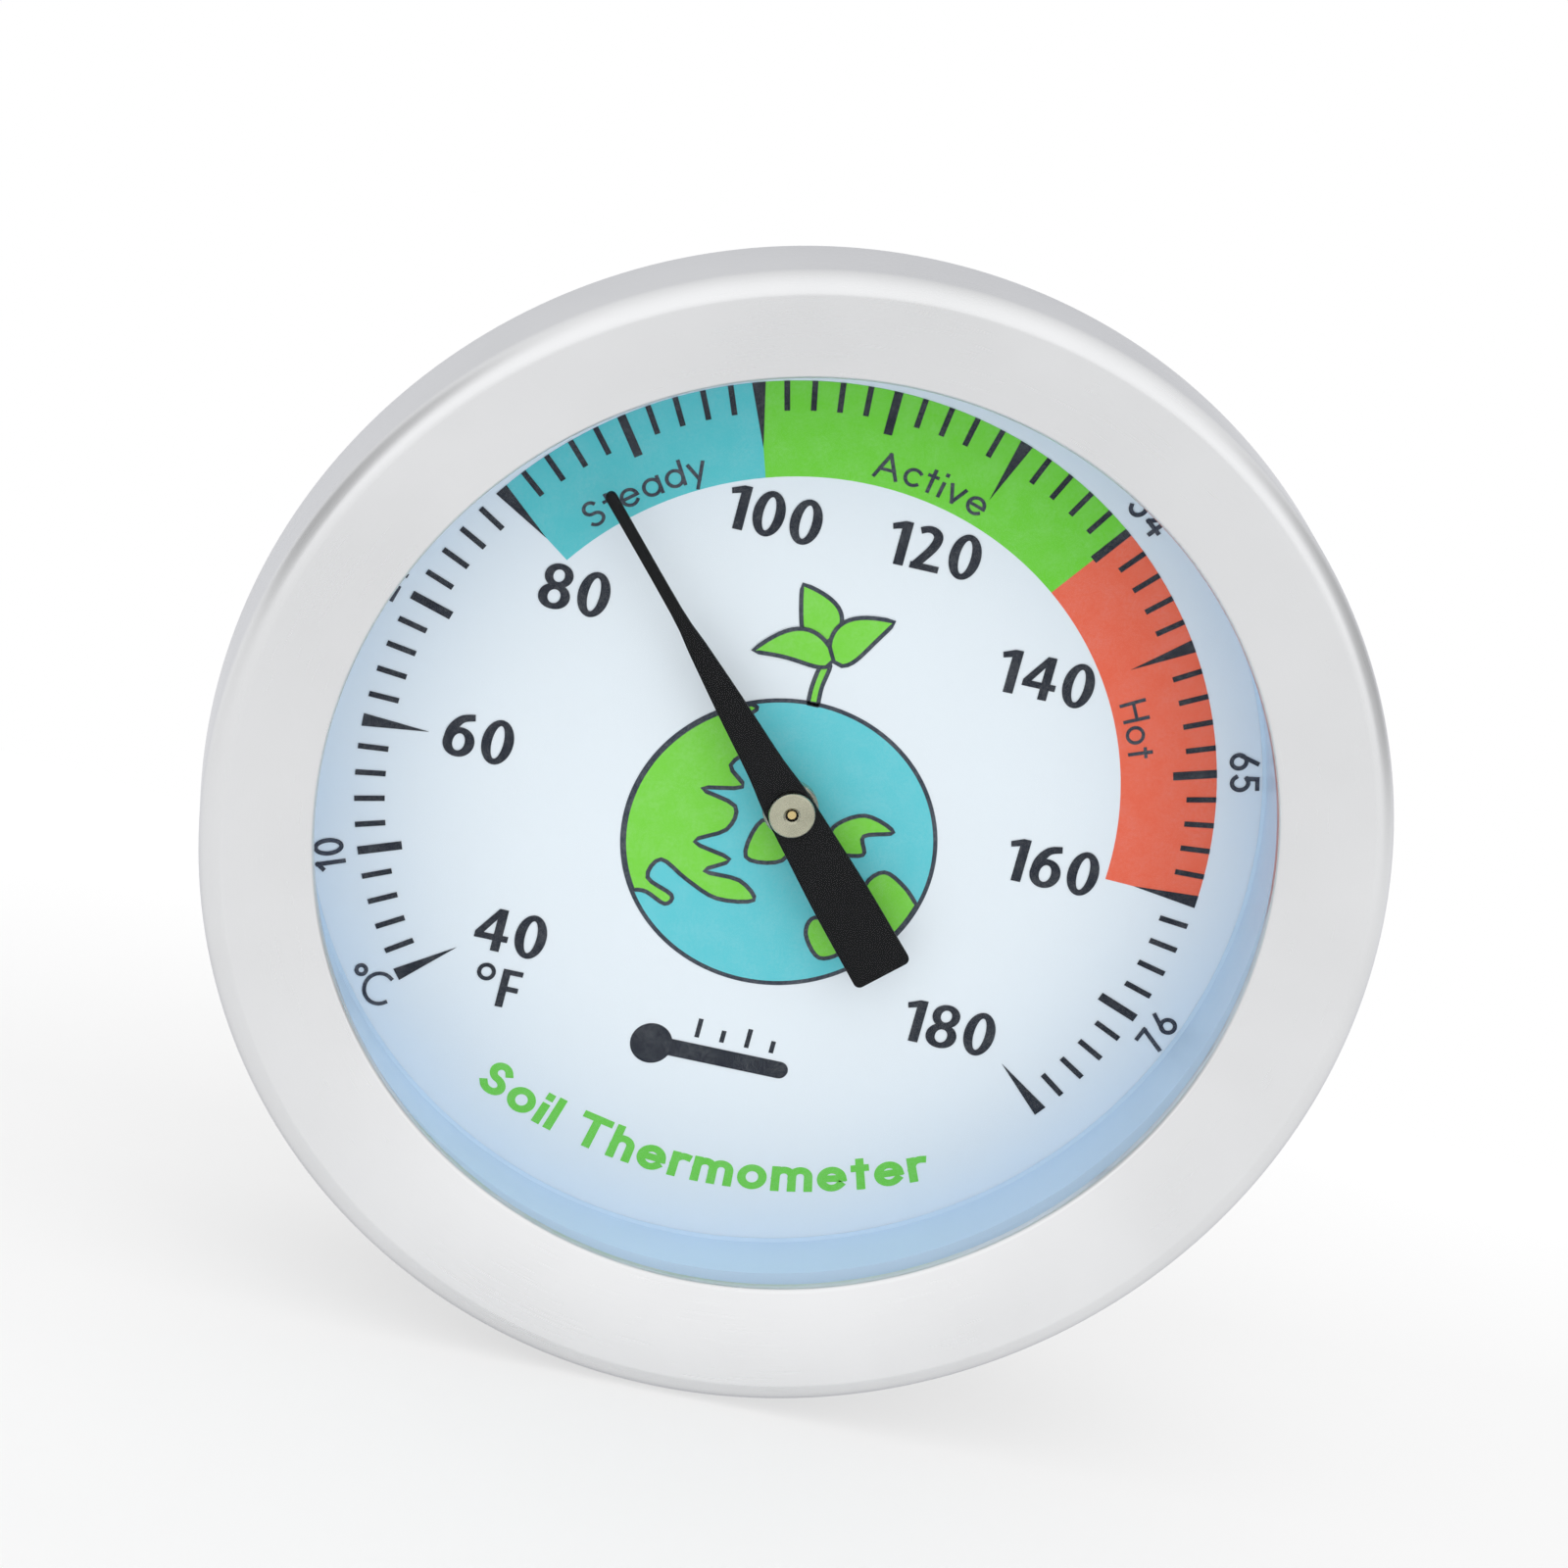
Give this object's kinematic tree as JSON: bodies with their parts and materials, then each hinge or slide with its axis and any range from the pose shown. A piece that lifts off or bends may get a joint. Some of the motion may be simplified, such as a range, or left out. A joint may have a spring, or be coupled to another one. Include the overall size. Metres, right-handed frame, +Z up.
{
  "type": "soil thermometer probe",
  "caption": "Dial thermometer with a round steel head, glass lens and pointer on a long pointed stem that is pushed into soil or compost.",
  "frame": {"origin": "on the stem's axis, in the rear face of the hex nut, where the stem leaves the head", "axes": "+Y along the stem towards its tip, with the dial facing -Y; +Z up through the dial's middle mark; +X to the right of someone reading the dial"},
  "size_m": [0.054, 0.5305, 0.054],
  "materials": {
    "satin_stainless": "satin, turned round the dial's axis",
    "stem_stainless": "drawn tube, fine lengthwise grain",
    "clear_glass": "clear, flat",
    "black_rubber": "matte",
    "dial_enamel": "white print, satin",
    "pale_plastic": "smooth moulded",
    "black_paint": "satin black",
    "nickel": "nickel plate",
    "brass": "machined",
    "white_nylon": "natural",
    "bimetal_strip": "rolled strip",
    "spring_steel": "rolled"
  },
  "bodies": {
    "stem": {"stem_tube": "stem_stainless", "stem_tip": "stem_stainless", "stem_neck": "satin_stainless", "hex_nut": "satin_stainless", "seal_washer": "black_rubber", "wave_washer": "spring_steel", "upper_guide_bush": "white_nylon", "middle_guide_bush": "white_nylon", "lower_guide_bush": "white_nylon", "bimetal_coil": "bimetal_strip", "coil_anchor": "brass"},
    "head": {"case_cup": "satin_stainless", "bezel_ring": "satin_stainless", "lens": "clear_glass", "lens_gasket": "black_rubber", "spacer_ring": "pale_plastic", "dial_plate": "dial_enamel", "dial_support_ring": "pale_plastic"},
    "pointer": {"pointer": "black_paint", "pointer_hub": "nickel", "pointer_shaft": "brass", "coil_collar": "brass"}
  },
  "joints": [
    {"name": "calibration_turn", "type": "hinge", "parent": "stem", "child": "head", "pos_m": [0, -0.0072, 0], "axis": [0, 1, 0], "continuous": true},
    {"name": "pointer_turn", "type": "hinge", "parent": "stem", "child": "pointer", "pos_m": [0, -0.0123, 0], "axis": [0, 1, 0], "range_deg": [-86, 171], "stiffness_Nm_per_rad": 0.0005}
  ]
}
